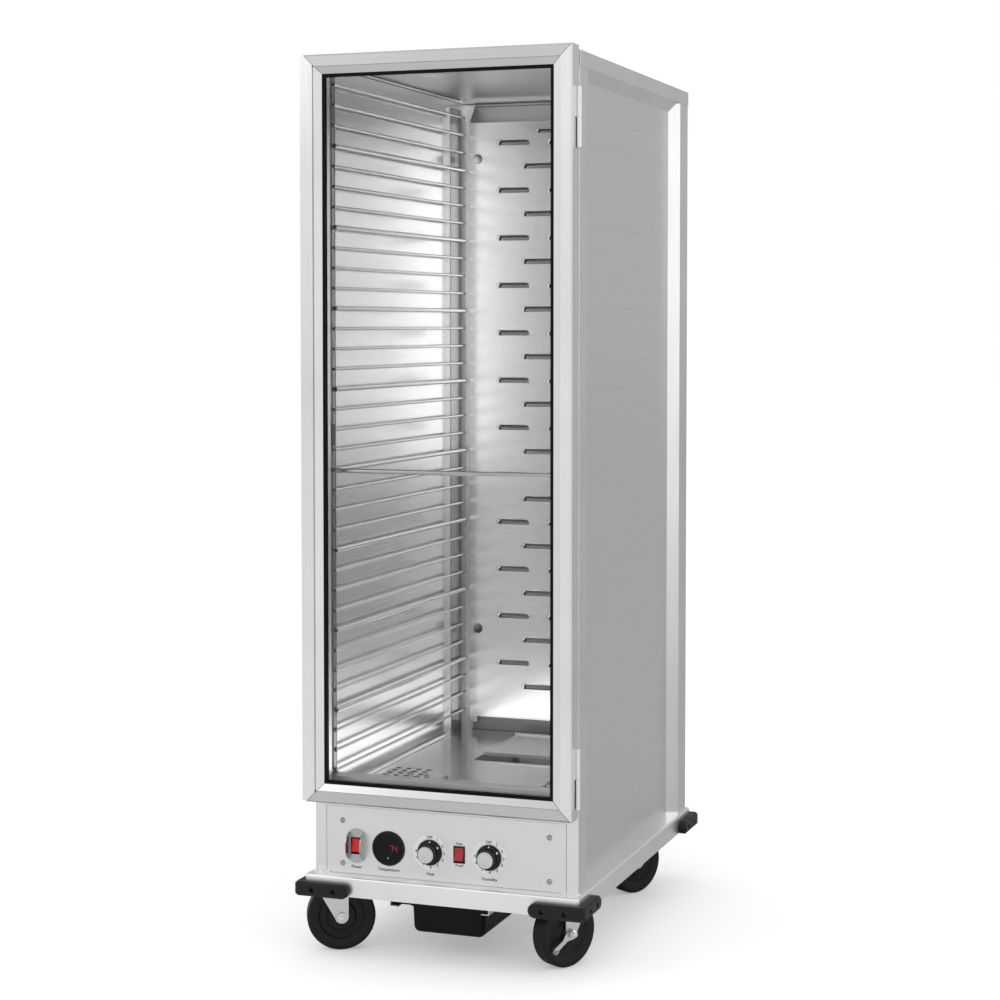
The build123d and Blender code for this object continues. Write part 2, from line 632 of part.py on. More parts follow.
def water_pan_lid():
    """Shallow lid with turned-up front and side edges, hinged on two stub pins at its rear corners."""
    x, y0, y1 = LID_X, LID_FRONT, WATER_Y[1]
    z = FLOOR_Z + 2.4
    lid = box(-x, x, y0, y1 - 4, z, z + THIN)
    lid += box(-x, x, y0, y0 + THIN, z, z + 7)
    for side in (-x, x - THIN):
        lid += box(side, side + THIN, y0, y1 - 4, z, z + 4)
    lid += box(-x - 2, x + 2, y1 - 6, y1 - 4.8, z, z + 4.4)
    lid += box(-x - 2, x + 2, y1 - 6, y1 + 1, z + 3.0, z + 4.2)
    lid += rod((-x - 7, y1 + 1, FLOOR_Z + 6), (x + 7, y1 + 1, FLOOR_Z + 6), 1.5)
    return lid


def power_inlet():
    inlet = box(146, 194, 372, BODY_REAR + 3, 186, 212)
    inlet += box(142, 198, BODY_REAR, BODY_REAR + 3, 182, 216)
    inlet -= box(152, 188, 380, BODY_REAR + 5, 190, 208)
    for x in (162.0, 170.0, 178.0):
        inlet += box(x - 1, x + 1, 376, 392, 197, 201)
    return inlet


# ---------------------------------------------------------------- drip pan
def drip_pan():
    length = PAN_Y[1] - PAN_Y[0]
    mid = sum(PAN_Y) / 2
    end = 26.0

    def tub(shrink, bottom, top, radius):
        size_x, size_y = 2 * (PAN_X - shrink), length - 2 * end - 2 * shrink
        face = Pos(0, mid, top) * RectangleRounded(size_x, size_y, 16)
        body = extrude(face, -(top - bottom), taper=3)
        return fillet(body.faces().sort_by(Axis.Z)[0].edges(), radius)

    pan = tub(0, PAN_BOTTOM, PAN_TOP - 1, 12)
    shoulder_face = RectangleRounded(2 * PAN_X + 8, length - 2 * end + 8, 18)
    shoulder = extrude(Pos(0, mid, PAN_TOP - 1) * shoulder_face, -11)
    flange = Pos(0, mid, PAN_TOP - 1.5) * extrude(
        RectangleRounded(2 * PAN_FLANGE_X, length, 16), 1.5, both=True)
    pan = pan + shoulder + flange
    return pan - tub(PAN_WALL, PAN_BOTTOM + PAN_WALL, PAN_TOP + 1, 10)


def drip_rail():
    x = PAN_FLANGE_X + EPS
    low = PAN_TOP - 3 - EPS - SKIN
    y0, y1 = -CHASSIS_Y + SHEET + 1, PAN_Y[1] + 8
    top = CHASSIS_TOP - SHEET
    rail = box(x, x + SKIN, y0, y1, low, top)
    rail += box(x - 14, x + SKIN, y0, y1, low, low + SKIN)
    rail += box(x, x + 16, y0, y1, top - SKIN, top)
    return rail


# ---------------------------------------------------------------- door
def frame_profile(lip):
    """Section of the free stile (lip) or a plain member: (distance from the edge, depth)."""
    w, d = FRAME_W, DOOR_BACK - DOOR_FRONT
    if lip:
        outer = [(-LIP, 0), (18.6, 0), (18.6, 7), (21.8, 7), (21.8, 0), (FLAT_W + 0.2, 0), (w, BEVEL),
                 (w, d), (0, d), (0, 3), (-LIP + 1.5, 3)]
        hole = [(3, 10), (w - 3, 10), (w - 3, d - 3), (3, d - 3)]
    else:
        outer = [(0, 3.4), (3.4, 0), (FLAT_W - 0.6, 0), (FLAT_W, 0.8), (FLAT_W + 0.6, 0.3), (w, BEVEL),
                 (w, d), (0, d)]
        hole = [(3, 5), (FLAT_W, 5), (w - 3, 9), (w - 3, d - 3), (3, d - 3)]
    return outline(outer) - outline(hole)


def stile(side):
    """A vertical door member, mitred at both ends."""
    z0, z1 = DOOR_Z
    plane = Plane((side * DOOR_X, DOOR_FRONT, z0 - 5), x_dir=(-side, 0, 0), z_dir=(0, 0, -side))
    solid = extrude(plane * frame_profile(side < 0), (z1 - z0 + 10) * -side)
    w, e = FRAME_W, side * DOOR_X
    out = side * (DOOR_X + LIP + 1)
    inn = side * (DOOR_X - w)
    cut = [(e, z0), (inn, z0 + w), (inn, z1 - w), (e, z1), (e + side * 0.01, z1 - LIP_STOP),
           (out, z1 - LIP_STOP), (out, z0 + LIP_STOP), (e + side * 0.01, z0 + LIP_STOP)]
    return solid & along_y(cut, DOOR_FRONT - 1, DOOR_BACK + 1)


def rail(top):
    """A horizontal door member, mitred at both ends."""
    z0, z1 = DOOR_Z
    edge, inward = (z1, -1) if top else (z0, 1)
    plane = Plane((-DOOR_X - 5, DOOR_FRONT, edge), x_dir=(0, 0, inward), z_dir=(-inward, 0, 0))
    solid = extrude(plane * frame_profile(False), (2 * DOOR_X + 10) * -inward)
    w = FRAME_W
    cut = [(-DOOR_X, edge), (DOOR_X, edge), (DOOR_X - w, edge + inward * w),
           (-DOOR_X + w, edge + inward * w)]
    return solid & along_y(cut, DOOR_FRONT - 1, DOOR_BACK + 1)


def ring(x, z0, z1, width, y0, y1, radius):
    outer = box(-x, x, y0, y1, z0, z1)
    inner = box(-x + width, x - width, y0 - 1, y1 + 1, z0 + width, z1 - width)
    if radius:
        inner = fillet(inner.edges().filter_by(Axis.Y), radius)
    return outer - inner


def glazing_seal():
    x = DOOR_X - FRAME_W
    z0, z1 = DOOR_Z[0] + FRAME_W, DOOR_Z[1] - FRAME_W
    seal = ring(x, z0, z1, 6, DOOR_FRONT + BEVEL, DOOR_FRONT + 15, 2)
    return seal - box(-x + 3, x - 3, DOOR_FRONT + 9, DOOR_FRONT + 12, z0 + 3, z1 - 3)


def window():
    x = DOOR_X - FRAME_W - 3
    return box(-x, x, DOOR_FRONT + 9, DOOR_FRONT + 12, DOOR_Z[0] + FRAME_W + 3, DOOR_Z[1] - FRAME_W - 3)


def door_gasket():
    return ring(250, 300, 1676, 7, DOOR_BACK, BODY_FRONT - THIN - EPS, 0)


def door_hinge_leaf(z0, z1):
    mid = (z0 + z1) / 2 + 0.25
    barrel = rod((HINGE_X, HINGE_Y, mid), (HINGE_X, HINGE_Y, z1), HINGE_R)
    barrel = fillet(barrel.faces().sort_by(Axis.Z)[-1].edges(), 1)
    leaf = box(DOOR_X, DOOR_X + 1.6, HINGE_Y - 12, HINGE_Y + 12, mid, z1)
    leaf = barrel + leaf
    return leaf - rod((HINGE_X, HINGE_Y, mid - 1), (HINGE_X, HINGE_Y, z1 - 3), HINGE_PIN_R + RUN)


def cabinet_hinge_leaf(z0, z1):
    mid = (z0 + z1) / 2 - 0.25
    barrel = rod((HINGE_X, HINGE_Y, z0), (HINGE_X, HINGE_Y, mid), HINGE_R)
    barrel = fillet(barrel.faces().sort_by(Axis.Z)[0].edges(), 1)
    neck = box(263.5, 266.0, HINGE_Y, BODY_FRONT, z0, mid)
    flat = box(252, 266.0, BODY_FRONT - 1.6, BODY_FRONT, z0, mid)
    return barrel + neck + flat - rod((HINGE_X, HINGE_Y, z0 - 1), (HINGE_X, HINGE_Y, mid + 1), HINGE_PIN_R)


def hinge_pin(z0, z1):
    pin = rod((HINGE_X, HINGE_Y, z0), (HINGE_X, HINGE_Y, z1 - 4), HINGE_PIN_R)
    return chamfer(pin.faces().sort_by(Axis.Z)[-1].edges(), 0.6)


# ---------------------------------------------------------------- build every node
def build():
    save("base_chassis", base_chassis())
    save("caster_plates", *[caster_plate(x, y) for x, y, _, _ in SWIVELS.values()],
         *[kingpin(x, y) for x, y, _, _ in SWIVELS.values()])
    save("corner_bumpers", *[corner_bumper(sx, sy) for sx in (-1, 1) for sy in (-1, 1)])
    save("bumper_screws", *[bumper_screw(p, d) for p, d in bumper_screw_places()])
    save("front_posts", front_post(), mirrored(front_post()))
    save("rear_posts", rear_post(), mirrored(rear_post()))
    save("top_cap", top_cap())
    save("top_rails", side_top_rail(), mirrored(side_top_rail()),
         cross_rail(BODY_FRONT, BODY_FRONT + 27, HEADER_Z), cross_rail(360, BODY_REAR - SKIN, 1674))
    save("side_panel_right", side_panel())
    save("side_panel_left", mirrored(side_panel()))
    save("back_panel", back_panel())
    save("front_sill", front_sill())
    save("cabinet_floor", cabinet_floor())
    save("duct_panel", duct_panel())
    uprights = list(zip(UPRIGHT_Y, STRIP_Y))
    save("rack_uprights", *[rack_upright(s, y, strip) for s in (-1, 1) for y, strip in uprights])
    save("rack_rungs", *[rack_rung(s, k) for s in (-1, 1) for k in range(RUNGS)])
    save("rack_tie_rod", rod((-POST_IN, -356, 912), (POST_IN, -356, 912), 4.5))
    save("control_panel", control_panel())
    save("panel_screws", *[panel_screw(x, z) for x in (-SCREW_X, SCREW_X) for z in SCREW_Z])
    save("switch_guard", switch_guard())
    save("switch_housings", switch_housing(POWER_X), switch_housing(MODE_X))
    save("power_rocker", rocker(POWER_X))
    save("mode_rocker", rocker(MODE_X))
    save("display_bezel", display_bezel())
    save("display_lens", display_lens())
    save("dial_plates", dial_plate(HEAT_X), dial_plate(HUMID_X))
    for name, x in (("heat", HEAT_X), ("humidity", HUMID_X)):
        save(name + "_knob", knob(x), knob_shaft(x))
        save(name + "_knob_cap", knob_cap(x))
    save("thermostats", thermostat(HEAT_X), thermostat(HUMID_X))
    save("module_tray", module_tray())
    save("heater_element", heater_element(), *element_clips())
    save("blower_motor", blower_motor())
    save("blower_impeller", blower_impeller())
    save("water_pan", water_pan())
    save("water_pan_lid", water_pan_lid())
    save("power_inlet", power_inlet())
    save("drip_pan_rails", drip_rail(), mirrored(drip_rail()))
    save("drip_pan", drip_pan())
    save("door_stile_left", stile(-1))
    save("door_stile_right", stile(1))
    save("door_rails", rail(True), rail(False))
    save("door_glazing_seal", glazing_seal())
    save("door_window", window())
    save("door_gasket", door_gasket())
    save("door_hinge_leaves", *[door_hinge_leaf(*h) for h in HINGES])
    save("cabinet_hinge_leaves", *[cabinet_hinge_leaf(*h) for h in HINGES],
         *[hinge_pin(*h) for h in HINGES])
    save("latch_magnet", box(-POST_IN, -POST_IN + 12, BODY_FRONT, -350, 960, 1000))
    save("latch_strike", box(-POST_IN + 1, -POST_IN + 11, DOOR_BACK, DOOR_BACK + 1.5, 958, 1002))
    for name, (_, _, _, brake) in SWIVELS.items():
        save("caster_fork_" + name, caster_fork(name), caster_axle(name))
        save("caster_wheel_" + name, caster_wheel(name))
        if brake:
            save("brake_lever_" + name, brake_lever(name))


build()
for node, solids in NODES.items():
    pieces = []
    for item in solids:
        pieces.extend((Pos(0, 0, FLOOR_DROP) * item).solids())
    shape = pieces[0] if len(pieces) == 1 else Compound(children=pieces)
    export_step(shape, f"parts/{node}.step")
print(len(NODES), "nodes")
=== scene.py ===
import math

import bmesh
import bpy
from mathutils import Matrix, Vector


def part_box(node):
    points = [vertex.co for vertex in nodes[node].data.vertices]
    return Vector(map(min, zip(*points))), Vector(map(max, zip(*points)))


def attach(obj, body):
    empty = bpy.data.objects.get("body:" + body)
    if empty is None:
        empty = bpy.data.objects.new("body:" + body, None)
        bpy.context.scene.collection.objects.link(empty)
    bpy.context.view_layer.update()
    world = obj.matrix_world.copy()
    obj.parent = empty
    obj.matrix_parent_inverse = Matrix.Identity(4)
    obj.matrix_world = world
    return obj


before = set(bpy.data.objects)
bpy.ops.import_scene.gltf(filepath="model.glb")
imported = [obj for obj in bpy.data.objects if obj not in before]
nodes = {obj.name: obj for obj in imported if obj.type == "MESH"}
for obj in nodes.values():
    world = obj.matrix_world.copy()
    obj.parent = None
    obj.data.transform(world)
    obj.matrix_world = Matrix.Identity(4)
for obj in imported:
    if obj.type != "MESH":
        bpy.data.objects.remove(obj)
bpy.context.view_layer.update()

CORNERS = ("front_left", "front_right", "rear_left", "rear_right")


# ---------------------------------------------------------------- materials
class Shader:
    """A principled material with short names for the nodes that it is built from."""

    def __init__(self, name, color, metallic, roughness, **sockets):
        self.material = bpy.data.materials.new(name)
        self.material.use_nodes = True
        self.tree = self.material.node_tree
        self.surface = self.tree.nodes["Principled BSDF"]
        self.set("Base Color", (*color, 1.0))
        self.set("Metallic", metallic)
        self.set("Roughness", roughness)
        for socket, value in sockets.items():
            self.set(socket.replace("_", " "), value)
        self.place = self.tree.nodes.new("ShaderNodeTexCoord").outputs["Object"]

    def set(self, socket, value):
        self.surface.inputs[socket].default_value = value

    def link(self, output, socket):
        self.tree.links.new(output, socket)

    def roughen(self, source, low, high):
        """Lets a texture move the roughness between two values."""
        self.link(self.ramp(source, low, high), self.surface.inputs["Roughness"])

    def noise(self, scale, detail=3.0, rough=0.55):
        """Noise in object space. scale is features per metre along each axis."""
        mapping = self.tree.nodes.new("ShaderNodeMapping")
        mapping.inputs["Scale"].default_value = scale
        self.link(self.place, mapping.inputs["Vector"])
        texture = self.tree.nodes.new("ShaderNodeTexNoise")
        texture.inputs["Scale"].default_value = 1.0
        texture.inputs["Detail"].default_value = detail
        texture.inputs["Roughness"].default_value = rough
        self.link(mapping.outputs["Vector"], texture.inputs["Vector"])
        return texture.outputs["Fac"]

    def even_noise(self, scale, detail=3.0):
        """Noise with the same scale along all three axes."""
        return self.noise([scale, scale, scale], detail)

    def ramp(self, source, low, high, from_low=0.3, from_high=0.7):
        """Spreads a value between two levels."""
        node = self.tree.nodes.new("ShaderNodeMapRange")
        node.inputs["From Min"].default_value = from_low
        node.inputs["From Max"].default_value = from_high
        node.inputs["To Min"].default_value = low
        node.inputs["To Max"].default_value = high
        self.link(source, node.inputs["Value"])
        return node.outputs["Result"]

    def tint(self, source, dark, light):
        """Mixes two colours by a value from 0 to 1."""
        node = self.tree.nodes.new("ShaderNodeMix")
        node.data_type = "RGBA"
        node.inputs["A"].default_value = (*dark, 1.0)
        node.inputs["B"].default_value = (*light, 1.0)
        self.link(source, node.inputs["Factor"])
        self.link(node.outputs["Result"], self.surface.inputs["Base Color"])

    def bump(self, source, strength, distance):
        node = self.tree.nodes.new("ShaderNodeBump")
        node.inputs["Strength"].default_value = strength
        node.inputs["Distance"].default_value = distance
        self.link(source, node.inputs["Height"])
        self.link(node.outputs["Normal"], self.surface.inputs["Normal"])


def grey(tone):
    """A colour with no hue."""
    return (tone, tone, tone)


def scaled(color, factor):
    """A colour made lighter or darker."""
    return tuple(min(1.0, c * factor) for c in color)


def brushed(name, color, along, rough, spread=0.06, contrast=0.05, bump=0.10):
    """Metal with a fine grain that runs along one axis."""
    shader = Shader(name, color, 1.0, rough)
    across, length = 900.0, 5.0
    grain = shader.noise([length if axis == along else across for axis in "xyz"], 4.0, 0.6)
    shader.roughen(grain, rough - spread, rough + spread)
    broad = shader.ramp(shader.noise([4.0, 4.0, 3.0], 2.0), 0.0, 1.0)
    shader.tint(broad, scaled(color, 1 - contrast), scaled(color, 1 + contrast))
    shader.bump(grain, bump, 0.00006)
    return shader.material


def planked(name, color):
    """Rolled sheet with fine ribs that run from front to back."""
    shader = Shader(name, color, 1.0, 0.42)
    ribs = shader.noise([0.4, 0.6, 620.0], 1.0, 0.5)
    mill = shader.noise([900.0, 6.0, 1500.0], 3.0)
    shader.roughen(mill, 0.20, 0.28)
    shader.tint(shader.ramp(ribs, 0.0, 1.0), scaled(color, 0.97), scaled(color, 1.03))
    shader.bump(ribs, 0.12, 0.00006)
    return shader.material


def polished(name, color, rough):
    """Bright metal with a faint cloud of wear."""
    shader = Shader(name, color, 1.0, rough)
    speckle = 0.03
    shader.roughen(shader.even_noise(60.0, 4.0), max(0.02, rough - speckle), rough + speckle)
    shader.bump(shader.even_noise(900.0, 2.0), 0.04, 0.00005)
    return shader.material


def spun(name, color):
    """Turned metal: the highlight is drawn out across fine rings round the Y axis."""
    shader = Shader(name, color, 1.0, 0.30, Anisotropic=0.92)
    tangent = shader.tree.nodes.new("ShaderNodeTangent")
    tangent.direction_type = "RADIAL"
    tangent.axis = "Y"
    shader.link(tangent.outputs["Tangent"], shader.surface.inputs["Tangent"])
    shader.roughen(shader.even_noise(500.0), 0.24, 0.36)
    return shader.material


def zinc_plate(name, color):
    """Plated pressed steel with a faint crystalline mottle."""
    shader = Shader(name, color, 1.0, 0.34)
    crystals = shader.tree.nodes.new("ShaderNodeTexVoronoi")
    crystals.inputs["Scale"].default_value = 420.0
    shader.link(shader.place, crystals.inputs["Vector"])
    mottle = shader.ramp(crystals.outputs["Distance"], 0.0, 1.0, 0.0, 0.9)
    shader.tint(mottle, scaled(color, 0.88), scaled(color, 1.08))
    shader.roughen(shader.even_noise(200.0), 0.28, 0.42)
    shader.bump(shader.even_noise(700.0), 0.08, 0.0001)
    return shader.material


def moulded(name, color, rough, grain=700.0, bump=0.12, **sockets):
    """Rubber or plastic with a moulded grain and slightly worn tone."""
    shader = Shader(name, color, 0.0, rough, **sockets)
    broad = shader.even_noise(18.0)
    shader.tint(shader.ramp(broad, 0.0, 1.0), scaled(color, 0.85), scaled(color, 1.15))
    shader.roughen(broad, rough - 0.06, rough + 0.08)
    shader.bump(shader.even_noise(grain), bump, 0.00012)
    return shader.material


def clear_pane(name):
    """Thin clear sheet with a faint haze."""
    shader = Shader(name, (0.10, 0.11, 0.11), 0.0, 0.04, Alpha=0.06, IOR=1.49)
    shader.roughen(shader.even_noise(9.0, 4.0), 0.02, 0.10)
    return shader.material


def glowing(name, color, strength, rough):
    """Coloured plastic that is lit from inside."""
    shader = Shader(name, color, 0.0, rough)
    shader.set("Emission Color", (*color, 1.0))
    shader.set("Emission Strength", strength)
    shader.tint(shader.ramp(shader.even_noise(400.0), 0.0, 1.0), scaled(color, 0.85), color)
    return shader.material


ALUMINIUM = grey(0.76)
BRIGHT = grey(0.80)
FINE_GRAIN = {"spread": 0.04, "contrast": 0.03, "bump": 0.05}

upright_metal = brushed("aluminium_upright", ALUMINIUM, "z", 0.34)
panel_metal = brushed("control_panel_aluminium", grey(0.75), "x", 0.36, **FINE_GRAIN)
depth_metal = brushed("aluminium_depth", ALUMINIUM, "y", 0.34)
door_upright_metal = brushed("door_aluminium_upright", BRIGHT, "z", 0.30)
# The door rails are the stiles' aluminium painted darker: painted shade that tones down the floor's
# reflection in them.
door_rail_painted_shade_metal = brushed("door_aluminium_cross_painted_shade", grey(0.56), "x", 0.30)
sill_metal = brushed("sill_stainless", grey(0.82), "x", 0.44)
lid_metal = brushed("lid_stainless", grey(0.94), "x", 0.40)
chassis_metal = brushed("chassis_aluminium", grey(0.88), "x", 0.34)
side_metal = planked("side_panel_aluminium", ALUMINIUM)
# The duct and the cavity floor are lighter than the aluminium walls: painted light that brightens the
# inside of the cavity.
duct_painted_light_metal = brushed("duct_aluminium", grey(0.88), "x", 0.22, **FINE_GRAIN)
floor_painted_light_metal = brushed("floor_stainless", grey(0.90), "x", 0.22, **FINE_GRAIN)
hidden_metal = brushed("module_stainless", (0.66, 0.66, 0.67), "y", 0.36)
wire_metal = polished("rack_plating", (0.52, 0.52, 0.53), 0.20)
strip_metal = brushed("rack_strip_plating", (0.30, 0.30, 0.31), "z", 0.26)
bright_metal = polished("bright_trim", (0.82, 0.83, 0.84), 0.14)
guard_metal = polished("guard_steel", (0.46, 0.46, 0.47), 0.26)
screw_metal = polished("screw_steel", (0.42, 0.42, 0.43), 0.24)
spun_metal = spun("spun_metal", (0.66, 0.66, 0.67))
# Aluminium in a dark grey: painted shade for the hollows behind the duct slots and the gap under the duct
# panel.
painted_shade_metal = brushed("louvre_painted_shade", grey(0.33), "x", 0.42)
dark_metal = polished("black_oxide", grey(0.05), 0.35)
zinc = zinc_plate("zinc_plate", (0.68, 0.69, 0.70))
sealant = moulded("sealant", grey(0.05), 0.5, 400.0, 0.1, Specular_IOR_Level=0.2)
bumper_rubber = moulded("bumper_rubber", grey(0.012), 0.46, 500.0, Specular_IOR_Level=0.22)
wheel_rubber = moulded("wheel_rubber", grey(0.010), 0.38, 350.0, 0.08, Specular_IOR_Level=0.22)
seal_rubber = moulded("seal_rubber", grey(0.004), 0.50, Specular_IOR_Level=0.08)
black_plastic = moulded("black_plastic", grey(0.006), 0.32, Specular_IOR_Level=0.30)
pan_plastic = moulded("pan_plastic", grey(0.005), 0.36, 260.0, 0.10, Specular_IOR_Level=0.15)
display_gloss = moulded("display_gloss", grey(0.002), 0.10, 900.0, 0.01, Specular_IOR_Level=0.20)
dial_white = moulded("dial_white", grey(0.93), 0.38, 500.0, 0.04)
mark_white = moulded("mark_white", grey(0.90), 0.45, 500.0, 0.03)
ink = moulded("ink", grey(0.008), 0.5, 500.0, 0.02, Specular_IOR_Level=0.1)
red_lens = glowing("red_lens", (0.62, 0.004, 0.006), 0.22, 0.16)
dull_red_lens = glowing("dull_red_lens", (0.36, 0.012, 0.025), 0.18, 0.20)
digit_glow = glowing("digit_glow", (0.30, 0.010, 0.016), 0.45, 0.3)
pane = clear_pane("door_pane")

FINISH = {
    "base_chassis": chassis_metal, "caster_plates": zinc, "corner_bumpers": bumper_rubber,
    "bumper_screws": dark_metal, "front_posts": upright_metal, "rear_posts": upright_metal,
    "top_cap": depth_metal, "top_rails": depth_metal, "side_panel_left": side_metal,
    "side_panel_right": side_metal, "back_panel": upright_metal, "front_sill": sill_metal,
    "cabinet_floor": floor_painted_light_metal, "duct_panel": duct_painted_light_metal, "rack_uprights": strip_metal,
    "rack_rungs": wire_metal, "rack_tie_rod": wire_metal, "control_panel": panel_metal,
    "panel_screws": screw_metal, "switch_guard": guard_metal, "switch_housings": black_plastic,
    "display_bezel": black_plastic, "display_lens": display_gloss, "dial_plates": dial_white,
    "thermostats": black_plastic, "module_tray": hidden_metal, "heater_element": hidden_metal,
    "blower_motor": zinc, "blower_impeller": zinc, "water_pan": floor_painted_light_metal,
    "water_pan_lid": lid_metal, "power_inlet": black_plastic, "drip_pan_rails": zinc,
    "drip_pan": pan_plastic, "cabinet_hinge_leaves": bright_metal, "latch_magnet": black_plastic,
    "latch_strike": zinc, "door_stile_left": door_upright_metal,
    "door_stile_right": door_upright_metal, "door_rails": door_rail_painted_shade_metal,
    "door_glazing_seal": seal_rubber, "door_window": pane, "door_gasket": seal_rubber,
    "door_hinge_leaves": bright_metal, "power_rocker": red_lens, "mode_rocker": dull_red_lens,
    "heat_knob": black_plastic, "humidity_knob": black_plastic, "heat_knob_cap": spun_metal,
    "humidity_knob_cap": spun_metal, "brake_lever_front_left": zinc,
    "brake_lever_front_right": zinc,
}
for corner in CORNERS:
    FINISH["caster_wheel_" + corner] = wheel_rubber
    FINISH["caster_fork_" + corner] = zinc


def paint(piece, material):
    piece.data.materials.clear()
    piece.data.materials.append(material)


for node, material in FINISH.items():
    paint(nodes[node], material)


# ---------------------------------------------------------------- building blocks
FACE_FRONT = Matrix.Rotation(math.pi / 2, 4, "X")


def add_piece(name, builder, material, body):
    """Turns a finished builder into a piece that rides on a body."""
    mesh = bpy.data.meshes.new(name)
    builder.normal_update()
    builder.to_mesh(mesh)
    builder.free()
    mesh.shade_smooth()
    mesh.set_sharp_from_angle(angle=math.radians(35))
    piece = bpy.data.objects.new(name, mesh)
    bpy.context.scene.collection.objects.link(piece)
    paint(piece, material)
    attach(piece, body)


def centre(node):
    """The middle of a CAD node's box."""
    low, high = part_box(node)
    return (low + high) / 2


def gather(builder, part):
    """Moves a part into a builder and frees it."""
    mesh = bpy.data.meshes.new("part")
    part.to_mesh(mesh)
    part.free()
    builder.from_mesh(mesh)


def clock_place(middle, radius, degrees, face):
    """A point round a knob, at an angle counted clockwise from the top."""
    turn = math.radians(degrees)
    return Vector((middle.x + radius * math.sin(turn), face, middle.z + radius * math.cos(turn)))


def upright_to(direction):
    """The rotation that turns Z to a direction."""
    return Vector((0, 0, 1)).rotation_difference(direction).to_matrix().to_4x4()


def solidify(builder, thickness):
    """Gives flat faces a back, towards +Y."""
    extruded = bmesh.ops.extrude_face_region(builder, geom=builder.faces[:])
    moved = [e for e in extruded["geom"] if isinstance(e, bmesh.types.BMVert)]
    bmesh.ops.translate(builder, vec=Vector((0, thickness, 0)), verts=moved)
    bmesh.ops.recalc_face_normals(builder, faces=builder.faces[:])


def ball(place, radius, stretch, around):
    """A ball stretched by a factor along each axis."""
    part = bmesh.new()
    bmesh.ops.create_uvsphere(part, u_segments=around, v_segments=8, radius=radius)
    part.transform(Matrix.Translation(place) @ Matrix.Diagonal((*stretch, 1)))
    return part


def revolved(profile, place, steps=24):
    """A turned part round Z, from (radius, height) pairs that start and end on the axis."""
    part = bmesh.new()
    rings = []
    for radius, height in profile[1:-1]:
        ring = []
        for k in range(steps):
            turn = 2 * math.pi * k / steps
            point = Vector((radius * math.cos(turn), radius * math.sin(turn), height))
            ring.append(part.verts.new(place + point))
        rings.append(ring)
    for a, b in zip(rings, rings[1:]):
        for k in range(steps):
            j = (k + 1) % steps
            part.faces.new((a[k], a[j], b[j], b[k]))
    for ring, (_, height) in ((rings[0], profile[0]), (rings[-1], profile[-1])):
        tip = part.verts.new(place + Vector((0, 0, height)))
        for k in range(steps):
            part.faces.new((ring[k], ring[(k + 1) % steps], tip))
    bmesh.ops.recalc_face_normals(part, faces=part.faces[:])
    return part


def strip_between(*outlines):
    """A closed strip between two outlines with the same number of points."""
    strip = bmesh.new()
    rings = [[strip.verts.new(point) for point in outline] for outline in outlines]
    count = len(rings[0])
    for k in range(count):
        j = (k + 1) % count
        strip.faces.new((rings[0][k], rings[0][j], rings[1][j], rings[1][k]))
    for ring in rings:
        strip.faces.new(ring)
    bmesh.ops.recalc_face_normals(strip, faces=strip.faces[:])
    return strip


def along_depth(profile, start, end):
    """A strip along Y, from (x, z) pairs."""
    return strip_between(*[[(x, y, z) for x, z in profile] for y in (start, end)])


def along_width(profile, start, end):
    """A strip along X, from (y, z) pairs."""
    return strip_between(*[[(x, y, z) for y, z in profile] for x in (start, end)])


def upright_strip(profile, start, end):
    """A strip along Z, from (x, y) pairs."""
    return strip_between(*[[(x, y, z) for x, y in profile] for z in (start, end)])


# ---------------------------------------------------------------- lettering
# How far the print stands off the sheet behind it.
INK_GAP = 0.0001
# Each mark on a dial, with its angle in degrees, clockwise from the top.
DIAL_MARKS = (("OFF", -2), ("1", 30), ("2", 62), ("3", 92), ("4", 118), ("5", 148),
              ("6", 178), ("7", 210), ("8", 245), ("9", 270))


def lettering(builder, words, height, place, weight):
    """Adds thin raised words, facing the front and centred on place."""
    curve = bpy.data.curves.new("words", "FONT")
    curve.body = words
    curve.size = height
    curve.align_x = "CENTER"
    curve.align_y = "CENTER"
    curve.extrude = 0.00008
    curve.offset = weight
    holder = bpy.data.objects.new("words", curve)
    mesh = bpy.data.meshes.new_from_object(holder)
    mesh.transform(Matrix.Translation(place) @ FACE_FRONT)
    builder.from_mesh(mesh)
    bpy.data.objects.remove(holder)


def dial_numbers():
    """The printed scale round each knob."""
    builder = bmesh.new()
    radius, height, weight = 0.0284, 0.0072, 0.00012
    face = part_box("dial_plates")[0].y - INK_GAP
    for knob in ("heat_knob", "humidity_knob"):
        for words, angle in DIAL_MARKS:
            place = clock_place(centre(knob), radius, angle, face)
            lettering(builder, words, height, place, weight)
    add_piece("dial_numbers", builder, ink, "cabinet")


def panel_words():
    """The printed word under or over each control."""
    builder = bmesh.new()
    large, small, weight = 0.0082, 0.0068, 0.0001
    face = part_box("control_panel")[0].y - INK_GAP
    row = centre("heat_knob").z
    for words, control, rise, height in (
        ("Power", "switch_guard", -0.0405, large),
        ("Temperature", "display_lens", -0.0405, large),
        ("Heat", "heat_knob", -0.0415, large),
        ("Humidity", "humidity_knob", -0.0415, large),
        ("Heat", "mode_rocker", 0.0205, small),
        ("Proof", "mode_rocker", -0.0205, small),
    ):
        place = Vector((centre(control).x, face, row + rise))
        lettering(builder, words, height, place, weight)
    add_piece("panel_words", builder, ink, "cabinet")


# ---------------------------------------------------------------- display
# The lit strokes of each digit.
SEGMENTS = {"7": "abc", "4": "fgbc"}
DISPLAY_GAP = 0.00005
DISPLAY_THICKNESS = 0.0002


